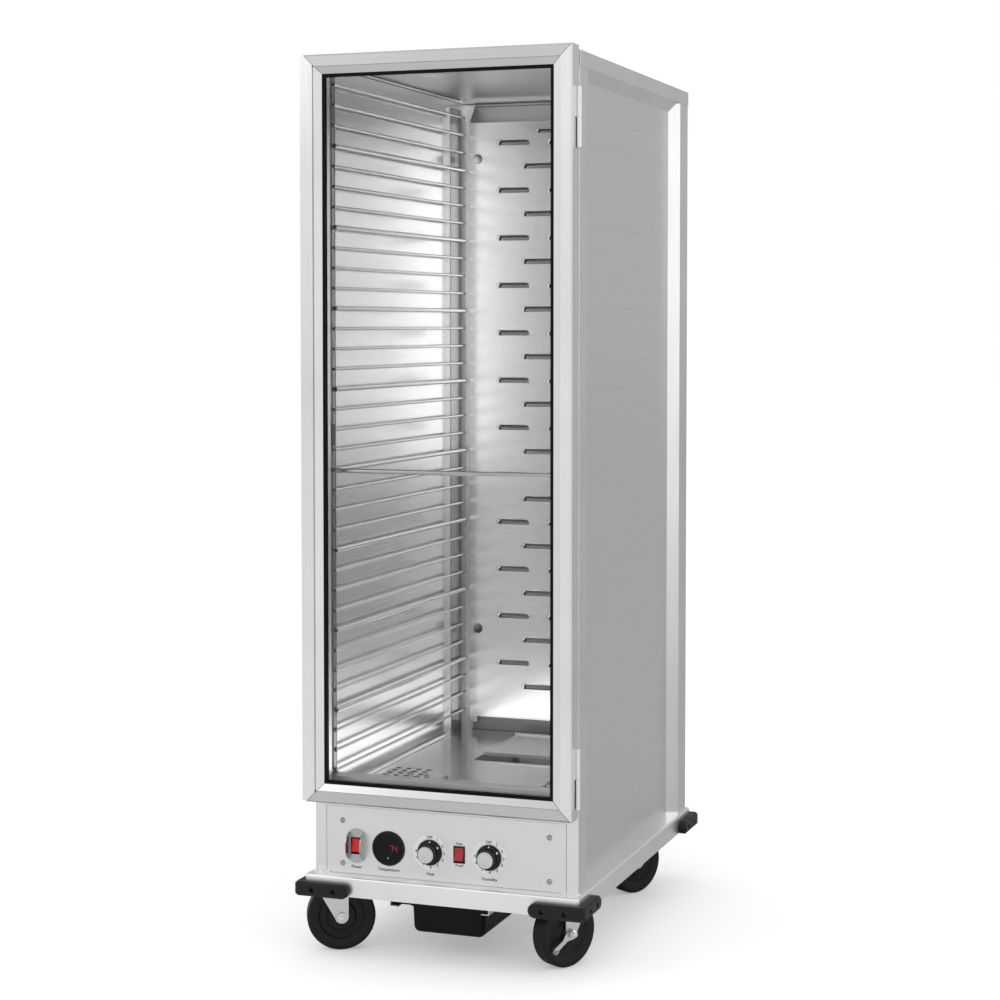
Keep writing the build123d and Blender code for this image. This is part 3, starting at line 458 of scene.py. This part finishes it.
def display_digits():
    """Two leaning seven-segment digits, just proud of the lens."""
    builder = bmesh.new()
    width, height, bar, lean = 0.0062, 0.0125, 0.0012, 0.08
    strokes = {
        "a": ((0, height), (width, height)),
        "b": ((width, height), (width, height / 2)),
        "c": ((width, height / 2), (width, 0)),
        "f": ((0, height), (0, height / 2)),
        "g": ((0, height / 2), (width, height / 2)),
    }
    middle = centre("display_lens")
    foot = Vector((middle.x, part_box("display_lens")[0].y - DISPLAY_GAP, middle.z - 0.006))
    for digit, start in (("7", 0.0022), ("4", 0.0112)):
        for segment in SEGMENTS[digit]:
            a, b = (Vector((start + x + lean * z, 0, z)) for x, z in strokes[segment])
            run = (b - a).normalized()
            side = Vector((-run.z, 0, run.x)) * bar / 2
            a, b = a + run * bar * 0.6, b - run * bar * 0.6
            tip = run * bar / 2
            outline = [a - tip, a + side, b + side, b + tip, b - side, a - side]
            builder.faces.new([builder.verts.new(point + foot) for point in outline])
    solidify(builder, DISPLAY_THICKNESS)
    add_piece("display_digits", builder, digit_glow, "cabinet")


def display_lamp():
    """The small white lamp low on the lens."""
    dot = bmesh.new()
    bmesh.ops.create_circle(dot, cap_ends=True, segments=20, radius=0.0011)
    middle = centre("display_lens")
    place = Vector((middle.x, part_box("display_lens")[0].y - DISPLAY_GAP, middle.z - 0.018))
    dot.transform(Matrix.Translation(place) @ FACE_FRONT)
    solidify(dot, DISPLAY_THICKNESS)
    add_piece("display_lamp", dot, mark_white, "cabinet")


# ---------------------------------------------------------------- knobs
def knob_marks(knob):
    """Two white dots on the skirt of a knob."""
    builder = bmesh.new()
    ring, flat = 0.0208, (1, 0.35, 1)
    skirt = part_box("control_panel")[0].y - 0.0087
    for angle, radius in ((5, 0.0016), (58, 0.0021)):
        place = clock_place(centre(knob), ring, angle, skirt)
        gather(builder, ball(place, radius, flat, 16))
    add_piece(knob + "_marks", builder, mark_white, knob)


# ---------------------------------------------------------------- louvres
LOUVRE_COLUMNS = (-0.116, -0.058, 0.0, 0.058, 0.116)
LOUVRE_PITCH = 0.1035
LOUVRE_ROWS = 12
# From the duct panel's top down to the first row, and from there up to the long slot.
FIRST_ROW_DROP = 0.088
LONG_SLOT_RISE = 0.023
# A slot's width and height, then the radius of its top corners and of its bottom corners.
LONG_SLOT = (0.124, 0.009, 0.0045, 0.0045)
SHORT_SLOT = (0.071, 0.011, 0.007, 0.0004)
CORNER_STEPS = 5


def louvres():
    """The rolled rim in front of each duct slot, and the pressed hood behind it, painted dark grey as
    painted shade inside the slot.
    """
    panel_low, panel_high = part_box("duct_panel")
    first = panel_high.z - FIRST_ROW_DROP
    slots = [(0.0, first + LONG_SLOT_RISE, LONG_SLOT)]
    for row in range(LOUVRE_ROWS):
        for column, x in enumerate(LOUVRE_COLUMNS):
            stagger = LOUVRE_PITCH / 2 if column % 2 else 0.0
            slots.append((x, first - LOUVRE_PITCH * row - stagger, SHORT_SLOT))
    rims, hoods = bmesh.new(), bmesh.new()
    for x, z, slot in slots:
        slot_rim(rims, Vector((x, panel_low.y, z)), *slot)
        slot_hood(hoods, Vector((x, panel_low.y + 0.0013, z)), *slot)
    add_piece("louvre_rims", rims, bright_metal, "cabinet")
    add_piece("louvre_hoods", hoods, painted_shade_metal, "cabinet")


def slot_outline(width, height, top, bottom):
    """Points round a slot, from its lower left corner over the top to its lower right."""
    points = []
    for side_x, side_z, radius, start in ((-1, -1, bottom, 1.5), (-1, 1, top, 1.0),
                                          (1, 1, top, 0.5), (1, -1, bottom, 0.0)):
        for i in range(CORNER_STEPS + 1):
            turn = math.pi * (start - 0.5 * i / CORNER_STEPS)
            points.append((side_x * (width / 2 - radius) + radius * math.cos(turn),
                           side_z * (height / 2 - radius) + radius * math.sin(turn)))
    return points


def slot_rim(builder, place, width, height, top, bottom):
    """Half-round bead over the top and the two ends, fullest at the left end."""
    margin, sides, slim, full = 0.0012, 6, 0.0006, 0.0024
    outline = slot_outline(width + margin, height + margin, top, bottom)
    path = [place + Vector((x, 0, z)) for x, z in outline]
    last = len(path) - 1
    rings = []
    for i, point in enumerate(path):
        run = (path[min(i + 1, last)] - path[max(i - 1, 0)]).normalized()
        side = Vector((-run.z, 0, run.x))
        fullness = full if CORNER_STEPS <= i < 2 * CORNER_STEPS + 1 else slim
        size = 0.0003 + fullness * min(1.0, i / 3.0, (last - i) / 3.0)
        ring = []
        for k in range(sides + 1):
            turn = math.pi * k / sides
            proud = Vector((0, size * 1.1 * math.sin(turn), 0))
            ring.append(builder.verts.new(point + side * size * math.cos(turn) - proud))
        rings.append(ring)
    for a, b in zip(rings, rings[1:]):
        for k in range(sides):
            builder.faces.new((a[k], a[k + 1], b[k + 1], b[k]))


def slot_hood(builder, place, width, height, top, bottom):
    """A shallow closed pocket that curves down behind the slot."""
    mouth, droop = 1.06, 0.15
    rings = []
    for depth, size in ((0.0, mouth), (0.004, mouth), (0.008, 1.0), (0.0105, 0.8), (0.0115, 0.4)):
        narrow = width * (1 - (mouth - size) * 0.25)
        outline = slot_outline(narrow, height * size, top * size, bottom * size)
        shift = place + Vector((0, depth, -depth * droop))
        rings.append([builder.verts.new(shift + Vector((x, 0, z))) for x, z in outline])
    for a, b in zip(rings, rings[1:]):
        for i in range(len(a)):
            j = (i + 1) % len(a)
            builder.faces.new((a[i], a[j], b[j], b[i]))
    builder.faces.new(rings[-1])


# ---------------------------------------------------------------- cavity
cavity_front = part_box("cabinet_floor")[0].y
cavity_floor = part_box("cabinet_floor")[1].z
cavity_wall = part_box("side_panel_right")[0].x - 0.0001
# The front edge of the rear rack strips.
REAR_STRIP = 0.277
# Each screw's place on the floor, x and y, and the radius of its washer.
FLOOR_SCREWS = ((-0.168, -0.119, 0.0070), (-0.129, -0.131, 0.0052), (-0.087, -0.131, 0.0052))


def floor_screws():
    """Domed screws in the cavity floor. The first has a washer that closes a vent hole."""
    builder = bmesh.new()
    dome = [(0.0048, 0.0010), (0.0044, 0.0024), (0.0032, 0.0036), (0.0016, 0.0041), (0, 0.0042)]
    for x, y, washer in FLOOR_SCREWS:
        profile = [(0, -0.0004), (washer, -0.0004), (washer, 0.0008), *dome]
        gather(builder, revolved(profile, Vector((x, y, cavity_floor))))
    add_piece("floor_screws", builder, screw_metal, "cabinet")


def floor_coves():
    """The hollow corner strips between the floor and the two sides of the cavity."""
    builder = bmesh.new()
    size, thick, steps = 0.012, 0.0006, 8
    for side in (-1, 1):
        profile = [(side * cavity_wall, cavity_floor), (side * cavity_wall, cavity_floor + size)]
        for i in range(steps + 1):
            turn = math.pi / 2 * i / steps
            profile.append((side * (cavity_wall - size * (1 - math.cos(turn)) - thick),
                            cavity_floor + thick + size * (1 - math.sin(turn))))
        profile.append((side * (cavity_wall - size - 2 * thick), cavity_floor))
        gather(builder, along_depth(profile, cavity_front + 0.001, REAR_STRIP - 0.002))
    add_piece("floor_coves", builder, bright_metal, "cabinet")


def ceiling_seals():
    """Beads of sealant where the cavity walls and the duct meet the ceiling."""
    builder = bmesh.new()
    rail_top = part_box("top_rails")[1].z
    duct_low, duct_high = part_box("duct_panel")
    wall, edge = 0.2402, 0.0005
    for side in (-1, 1):
        for low, high in ((rail_top - 0.0091, rail_top - 0.0073), (rail_top - 0.0029, rail_top - 0.0005)):
            profile = [(side * wall, low), (side * (wall - 0.0012), low + edge),
                       (side * (wall - 0.0016), (low + high) / 2),
                       (side * (wall - 0.0012), high - edge), (side * wall, high)]
            gather(builder, along_depth(profile, cavity_front, duct_low.y - 0.003))
    back, front = duct_high.y - 0.0036, duct_high.y - 0.0050
    bead = [(back, duct_high.z + 0.0006), (front, duct_high.z + 0.0012),
            (front, duct_high.z + 0.0026), (back, duct_high.z + 0.0032)]
    gather(builder, along_width(bead, 0.0012 - wall, wall - 0.0012))
    add_piece("ceiling_seals", builder, sealant, "cabinet")


def intake_painted_shade():
    """A folded dark sheet behind the gap under the duct panel: painted shade where the gap lies in
    shadow.
    """
    duct_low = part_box("duct_panel")[0]
    y, top = duct_low.y + 0.012, duct_low.z + 0.022
    foot, lip, thick, reach = 0.010, 0.006, 0.0012, 0.216
    profile = [(y - foot, cavity_floor), (y - foot, cavity_floor + thick),
               (y, cavity_floor + thick), (y, top), (y - lip, top), (y - lip, top + thick),
               (y + thick, top + thick), (y + thick, cavity_floor)]
    # Painted shade: the sheet's dark grey stands in for the shadow in the gap.
    add_piece("intake_painted_shade", along_width(profile, -reach, reach), painted_shade_metal, "cabinet")


def rack_strip_flanges():
    """The flange that turns each rear rack strip back to the wall."""
    builder = bmesh.new()
    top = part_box("rack_uprights")[1].z
    depth, front, back = 0.0078, REAR_STRIP - 0.0010, REAR_STRIP + 0.0002
    for side in (-1, 1):
        near, wall = side * (cavity_wall - depth), side * cavity_wall
        profile = [(near, front + 0.0005), (near + side * 0.0004, front), (wall, front),
                   (wall, back), (near, back)]
        gather(builder, upright_strip(profile, cavity_floor, top))
    add_piece("rack_strip_flanges", builder, upright_metal, "cabinet")


# ---------------------------------------------------------------- joints between sheets
def panel_joints():
    """The fine gaps between the control panel and the two posts beside it."""
    builder = bmesh.new()
    low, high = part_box("control_panel")
    half, crown = 0.0004, 0.0002
    for x in (low.x, high.x):
        profile = [(x - half, low.y), (x - crown, low.y - crown), (x + crown, low.y - crown),
                   (x + half, low.y)]
        gather(builder, upright_strip(profile, low.z, high.z))
    add_piece("panel_joints", builder, sealant, "cabinet")


def on_mitre(face):
    """Whether a face of the door rails is one of the cuts at 45 degrees."""
    normal = face.normal
    return abs(abs(normal.x) - abs(normal.z)) < 0.02 and abs(normal.y) < 0.02


def borders_mitre(edge):
    """Whether an edge has a mitre cut on one side only."""
    return len(edge.link_faces) == 2 and on_mitre(edge.link_faces[0]) != on_mitre(edge.link_faces[1])


def mitre_joints():
    """Hairline joints on the front of the door, where its rails meet its stiles."""
    rails = bmesh.new()
    rails.from_mesh(nodes["door_rails"].data)
    bmesh.ops.remove_doubles(rails, verts=rails.verts[:], dist=0.000002)
    rails.normal_update()
    low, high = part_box("door_rails")
    rear_limit, hair, proud = low.y + 0.032, 0.0004, 0.0003
    low.y -= proud
    builder = bmesh.new()
    for edge in filter(borders_mitre, rails.edges):
        start, end = (v.co.copy() for v in edge.verts)
        length = (end - start).length
        if max(start.y, end.y) > rear_limit or length < hair:
            continue
        joint = revolved([(0, 0), (hair, 0), (hair, length), (0, length)], Vector(), 6)
        joint.transform(Matrix.Translation(start) @ upright_to((end - start).normalized()))
        for vert in joint.verts:
            vert.co = Vector([min(max(c, a), b) for c, a, b in zip(vert.co, low, high)])
        gather(builder, joint)
    rails.free()
    add_piece("mitre_joints", builder, sealant, "door")


# ---------------------------------------------------------------- caster bolts
def wheel_axis(wheel):
    """A wheel's axle direction, which is the level direction in which the wheel is thinnest."""
    points = [Vector((v.co.x, v.co.y, 0)) for v in nodes[wheel].data.vertices]
    middle = centre(wheel) * Vector((1, 1, 0))
    turns = [math.radians(degree) for degree in range(180)]
    directions = [Vector((math.cos(turn), math.sin(turn), 0)) for turn in turns]
    return min(directions, key=lambda along: max(abs((p - middle).dot(along)) for p in points))


def axle_bolts(corner):
    """A hex head on a washer at each end of the axle."""
    wheel, fork = "caster_wheel_" + corner, "caster_fork_" + corner
    hub, along = centre(wheel), wheel_axis(wheel)
    boss, washer_face = 0.016, 0.0012
    near = [v.co - hub for v in nodes[fork].data.vertices]
    near = [v for v in near if abs(v.z) < boss and (v - along * v.dot(along)).length < boss]
    washer = [(0, -0.0002), (0.0080, -0.0002), (0.0080, 0.0010), (0.0062, washer_face),
              (0, washer_face)]
    head = [(0, washer_face), (0.0062, washer_face), (0.0062, 0.0046), (0.0052, 0.0054),
            (0, 0.0054)]
    builder = bmesh.new()
    for side in (-1, 1):
        out = max(v.dot(along) * side for v in near)
        for profile, steps in ((washer, 28), (head, 6)):
            part = revolved(profile, Vector(), steps)
            part.transform(Matrix.Translation(hub + along * side * out) @ upright_to(along * side))
            gather(builder, part)
    add_piece("axle_bolts_" + corner, builder, bright_metal, "caster_" + corner)


# ---------------------------------------------------------------- welds
def weld_beads():
    """Small dressed weld beads where the posts stand on the chassis."""
    builder = bmesh.new()
    radius, stretch, post_width = 0.0022, (1.3, 1.0, 0.8), 0.023
    chassis_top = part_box("base_chassis")[1].z
    post_low, post_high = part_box("front_posts")
    for side in (-1, 1):
        outer = post_high.x * side
        inner = outer - side * post_width
        for x in (inner - side * 0.004, (inner + outer) / 2, outer):
            for j in range(3):
                place = Vector((x + side * (j - 1) * radius, post_low.y - 0.0008,
                                chassis_top + 0.0006 + 0.0005 * (j % 2)))
                gather(builder, ball(place, radius, stretch, 12))
    add_piece("weld_beads", builder, bright_metal, "cabinet")


dial_numbers()
panel_words()
display_digits()
display_lamp()
for knob in ("heat_knob", "humidity_knob"):
    knob_marks(knob)
louvres()
floor_screws()
floor_coves()
ceiling_seals()
intake_painted_shade()
rack_strip_flanges()
panel_joints()
mitre_joints()
for corner in CORNERS:
    axle_bolts(corner)
weld_beads()


# ---------------------------------------------------------------- stage, lights and camera
def studio_floor():
    """A wide pale floor, a little darker behind the object where it shows in the metal."""
    mesh = bpy.data.meshes.new("studio_floor")
    reach = 40.0
    mesh.from_pydata([(-reach, -reach, 0), (reach, -reach, 0), (reach, reach, 0), (-reach, reach, 0)],
                     [], [(0, 1, 2, 3)])
    plane = bpy.data.objects.new("studio_floor", mesh)
    bpy.context.scene.collection.objects.link(plane)
    shader = Shader("studio_floor", grey(0.93), 0.0, 0.9)
    rays = shader.tree.nodes.new("ShaderNodeLightPath")
    seen = rays.outputs["Is Camera Ray"]
    shader.set("Emission Color", (1.0, 1.0, 1.0, 1.0))
    shader.link(shader.ramp(seen, 0.0, 0.30, 0.0, 1.0), shader.surface.inputs["Emission Strength"])
    split = shader.tree.nodes.new("ShaderNodeSeparateXYZ")
    shader.link(shader.place, split.inputs["Vector"])
    tone = shader.ramp(split.outputs["Y"], 0.92, 0.52, -0.6, 0.5)
    mix = shader.tree.nodes.new("ShaderNodeMix")
    mix.inputs["B"].default_value = 0.95
    shader.link(seen, mix.inputs["Factor"])
    shader.link(tone, mix.inputs["A"])
    shader.link(mix.outputs["Result"], shader.surface.inputs["Base Color"])
    paint(plane, shader.material)


def soft_light(name, place, target, size, power, seen=True):
    """A rectangular light that points at a target. size is its width and height in metres."""
    data = bpy.data.lights.new(name, "AREA")
    data.shape = "RECTANGLE"
    data.size, data.size_y = size
    data.energy = power
    light = bpy.data.objects.new(name, data)
    light.location = place
    light.visible_camera = seen
    light.rotation_euler = (Vector(target) - Vector(place)).to_track_quat("-Z", "Y").to_euler()
    bpy.context.scene.collection.objects.link(light)


def studio_world():
    """Soft white surroundings, darker behind the object than in front of it."""
    world = bpy.data.worlds.new("studio")
    bpy.context.scene.world = world
    world.use_nodes = True
    tree = world.node_tree
    background = tree.nodes["Background"]
    coords = tree.nodes.new("ShaderNodeTexCoord")
    split = tree.nodes.new("ShaderNodeSeparateXYZ")
    tree.links.new(coords.outputs["Generated"], split.inputs["Vector"])
    spread = tree.nodes.new("ShaderNodeMapRange")
    spread.inputs["From Min"].default_value = -1.0
    spread.inputs["From Max"].default_value = 1.0
    tree.links.new(split.outputs["Y"], spread.inputs["Value"])
    ramp = tree.nodes.new("ShaderNodeValToRGB")
    front, behind = ramp.color_ramp.elements
    front.position, front.color = 0.0, (*grey(0.84), 1)
    behind.position, behind.color = 1.0, (*grey(0.46), 1)
    ramp.color_ramp.elements.new(0.60).color = (*grey(0.90), 1)
    tree.links.new(spread.outputs["Result"], ramp.inputs["Fac"])
    rays = tree.nodes.new("ShaderNodeLightPath")
    mix = tree.nodes.new("ShaderNodeMix")
    mix.data_type = "RGBA"
    tree.links.new(rays.outputs["Is Camera Ray"], mix.inputs["Factor"])
    tree.links.new(ramp.outputs["Color"], mix.inputs["A"])
    mix.inputs["B"].default_value = (1, 1, 1, 1)
    tree.links.new(mix.outputs["Result"], background.inputs["Color"])
    background.inputs["Strength"].default_value = 1.0


def camera():
    """Eye level a little over mid height, right of the door, looking slightly down."""
    yaw, pitch = 0.344046, 0.044201
    data = bpy.data.cameras.new("camera")
    data.sensor_width = 36.0
    data.lens = 77.022
    data.shift_y = -0.08
    eye = bpy.data.objects.new("camera", data)
    eye.location = Vector((1.433441, -4.058558, 1.194595))
    eye.rotation_euler = (math.pi / 2 - pitch, 0.0, yaw)
    bpy.context.scene.collection.objects.link(eye)
    bpy.context.scene.camera = eye


studio_floor()
studio_world()
middle = (0, 0, 0.9)
soft_light("key", (-2.6, -3.6, 3.0), middle, (1.2, 1.2), 16)
soft_light("front", (0.3, -4.4, 1.2), middle, (2.0, 3.0), 6)
soft_light("rim", (3.2, 0.6, 1.8), (0, 0.1, 0.9), (1.2, 3.0), 8)
soft_light("cavity floor", (0, -0.02, 0.316), (0, -0.02, 1.0), (0.44, 0.60), 1.0, seen=False)
soft_light("cavity front", (0.08, -0.34, 1.30), (0.08, 0.4, 1.30), (0.28, 0.9), 1.15, seen=False)
camera()
bpy.context.scene.view_settings.view_transform = "Standard"

bpy.context.view_layer.update()
